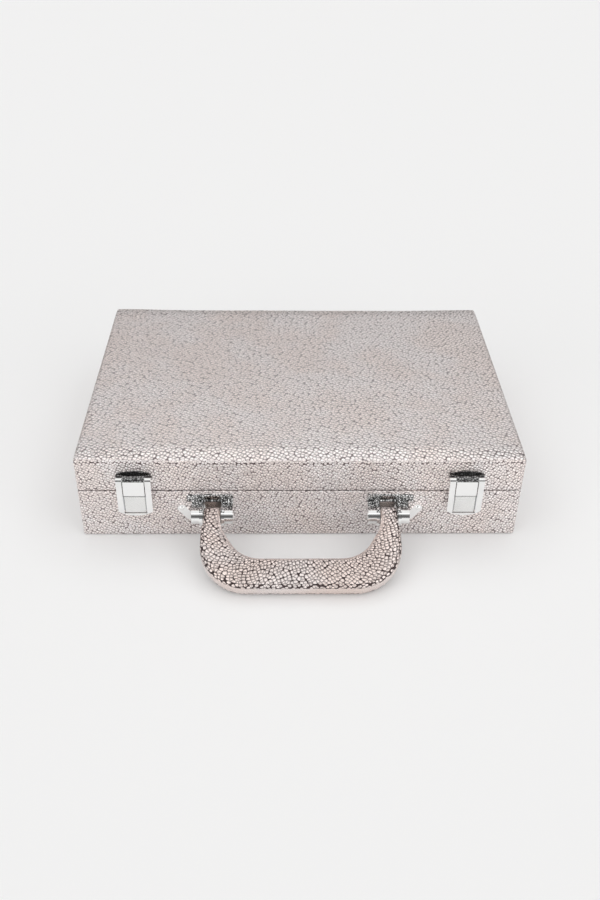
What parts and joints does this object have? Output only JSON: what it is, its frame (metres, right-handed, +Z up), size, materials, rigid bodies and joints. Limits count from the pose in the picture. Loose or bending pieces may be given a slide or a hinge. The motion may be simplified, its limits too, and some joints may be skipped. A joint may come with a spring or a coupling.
{
  "type": "domino set case",
  "caption": "Hinged attache-style game case in pebbled metallic leather with a swinging top handle, flap latches, a lined tray and domino tiles.",
  "frame": {"origin": "centre of the underside, on the surface that the case stands on", "axes": "+X along the front to the right, +Y from the front with its latches and handle to the hinges at the back, +Z up through the lid"},
  "size_m": [0.266, 0.252, 0.0585],
  "materials": {
    "case_leather": "pebbled metallic rose-silver leather",
    "handle_leather": "pebbled metallic rose-silver leather, turned and stitched round a pad",
    "polished_metal": "polished nickel plate",
    "satin_metal": "satin nickel plate with a fine horizontal grain",
    "spring_steel": "plain spring steel",
    "board": "plain fibre board",
    "foam": "cut foam",
    "lining": "soft grey suede cloth",
    "tray_velvet": "soft grey suede cloth over board",
    "felt": "dark pressed felt",
    "tile_resin": "polished ivory-coloured resin"
  },
  "bodies": {
    "base": {"base_back_board": "board", "base_bottom_board": "board", "base_front_board": "board", "base_leather": "case_leather", "base_left_board": "board", "base_lining_back": "lining", "base_lining_front": "lining", "base_lining_left": "lining", "base_lining_right": "lining", "base_right_board": "board", "domino_tiles_back_lower": "tile_resin", "domino_tiles_back_upper": "tile_resin", "domino_tiles_front_lower": "tile_resin", "domino_tiles_front_upper": "tile_resin", "handle_bracket_rivets": "polished_metal", "hinge_base_screws": "polished_metal", "latch_striker_rivets": "polished_metal", "left_handle_bracket": "polished_metal", "left_handle_pin": "polished_metal", "left_hinge_base_leaf": "polished_metal", "left_hinge_pin": "polished_metal", "left_latch_striker": "polished_metal", "right_handle_bracket": "polished_metal", "right_handle_pin": "polished_metal", "right_hinge_base_leaf": "polished_metal", "right_hinge_pin": "polished_metal", "right_latch_striker": "polished_metal", "tile_tray": "tray_velvet", "underside_felt": "felt"},
    "lid": {"hinge_lid_screws": "polished_metal", "latch_plate_rivets": "polished_metal", "left_hinge_lid_leaf": "polished_metal", "left_latch_lid_plate": "polished_metal", "left_latch_pin": "polished_metal", "lid_back_board": "board", "lid_foam": "foam", "lid_front_board": "board", "lid_leather": "case_leather", "lid_left_board": "board", "lid_lining_back": "lining", "lid_lining_front": "lining", "lid_lining_left": "lining", "lid_lining_pad": "lining", "lid_lining_right": "lining", "lid_right_board": "board", "lid_top_board": "board", "right_hinge_lid_leaf": "polished_metal", "right_latch_lid_plate": "polished_metal", "right_latch_pin": "polished_metal"},
    "left_latch": {"left_latch_button": "satin_metal", "left_latch_clip": "spring_steel", "left_latch_flap": "polished_metal"},
    "right_latch": {"right_latch_button": "satin_metal", "right_latch_clip": "spring_steel", "right_latch_flap": "polished_metal"},
    "handle": {"handle_core": "spring_steel", "handle_leather": "handle_leather", "handle_padding": "foam", "left_handle_bush": "polished_metal", "right_handle_bush": "polished_metal"}
  },
  "joints": [
    {"name": "lid_hinge", "type": "hinge", "parent": "base", "child": "lid", "pos_m": [0, 0.0977, 0.0344], "axis": [-1, 0, 0], "range_deg": [0, 100]},
    {"name": "left_latch_flap", "type": "hinge", "parent": "lid", "child": "left_latch", "pos_m": [-0.0984, -0.0983, 0.0446], "axis": [-1, 0, 0], "range_deg": [0, 110]},
    {"name": "right_latch_flap", "type": "hinge", "parent": "lid", "child": "right_latch", "pos_m": [0.0984, -0.0983, 0.0446], "axis": [-1, 0, 0], "range_deg": [0, 110]},
    {"name": "handle_pivot", "type": "hinge", "parent": "base", "child": "handle", "pos_m": [0, -0.103, 0.022], "axis": [-1, 0, 0], "range_deg": [0, 108]}
  ]
}
